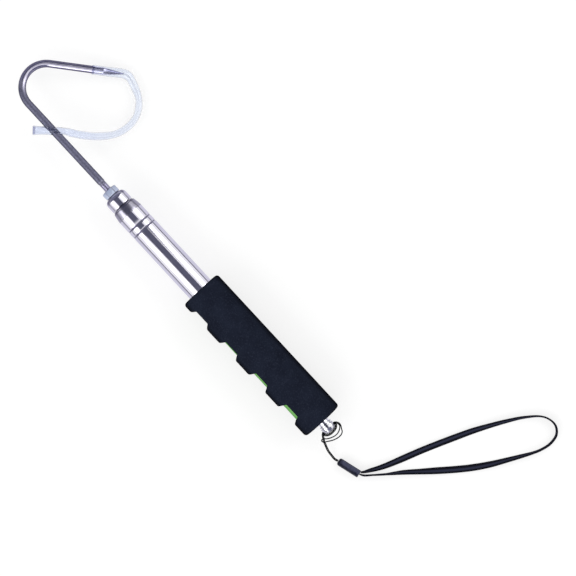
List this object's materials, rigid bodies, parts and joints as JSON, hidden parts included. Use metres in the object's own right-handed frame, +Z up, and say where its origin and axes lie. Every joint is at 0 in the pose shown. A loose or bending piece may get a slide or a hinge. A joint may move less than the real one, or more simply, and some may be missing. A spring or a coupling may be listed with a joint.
{
  "type": "telescopic fishing gaff",
  "caption": "Telescopic gaff, closed: nested steel tubes, screwed-in wire hook with a guarded point, notched foam grip, butt cap and wrist lanyard.",
  "frame": {"origin": "on the table, under the middle of the object without its lanyard", "axes": "+X from the butt to the hook, along the pole; +Z up from the table; the hook's point lies towards -Y"},
  "size_m": [0.4925, 0.1497, 0.036],
  "materials": {
    "tube_steel": "polished",
    "ferrule_metal": "polished",
    "cap_chrome": "polished",
    "hook_steel": "satin",
    "nut_zinc": "satin",
    "nylon": "satin",
    "foam_black": "matte",
    "foam_green": "matte",
    "vinyl_clear": "gloss",
    "cord_black": "matte",
    "slider_plastic": "satin",
    "strap_webbing": "matte"
  },
  "bodies": {
    "handle": {"outer_tube": "tube_steel", "outer_bush": "nylon", "grip_sleeve": "foam_black", "grip_liner": "foam_green", "rear_plug": "nylon", "end_cap": "cap_chrome", "lanyard_cord": "cord_black", "cord_slider": "slider_plastic", "wrist_strap": "strap_webbing"},
    "ring_2": {"guide_ring_2": "nylon"},
    "section_2": {"section_2_tube": "tube_steel", "section_2_bush": "nylon"},
    "ring_3": {"guide_ring_3": "nylon"},
    "section_3": {"section_3_tube": "tube_steel", "section_3_bush": "nylon"},
    "ring_4": {"guide_ring_4": "nylon"},
    "section_4": {"section_4_tube": "tube_steel", "hook_ferrule": "ferrule_metal", "hook": "hook_steel", "lock_nut": "nut_zinc", "point_guard": "vinyl_clear"}
  },
  "joints": [
    {"name": "section_2_slide", "type": "slide", "parent": "handle", "child": "ring_2", "axis": [1, 0, 0], "range_m": [0, 0.169]},
    {"name": "section_2_twist", "type": "hinge", "parent": "ring_2", "child": "section_2", "pos_m": [0, 0.02837, 0.018], "axis": [-1, 0, 0], "continuous": true},
    {"name": "section_3_slide", "type": "slide", "parent": "section_2", "child": "ring_3", "axis": [1, 0, 0], "range_m": [0, 0.17]},
    {"name": "section_3_twist", "type": "hinge", "parent": "ring_3", "child": "section_3", "pos_m": [0, 0.02837, 0.018], "axis": [-1, 0, 0], "continuous": true},
    {"name": "section_4_slide", "type": "slide", "parent": "section_3", "child": "ring_4", "axis": [1, 0, 0], "range_m": [0, 0.17]},
    {"name": "section_4_twist", "type": "hinge", "parent": "ring_4", "child": "section_4", "pos_m": [0, 0.02837, 0.018], "axis": [-1, 0, 0], "continuous": true}
  ]
}
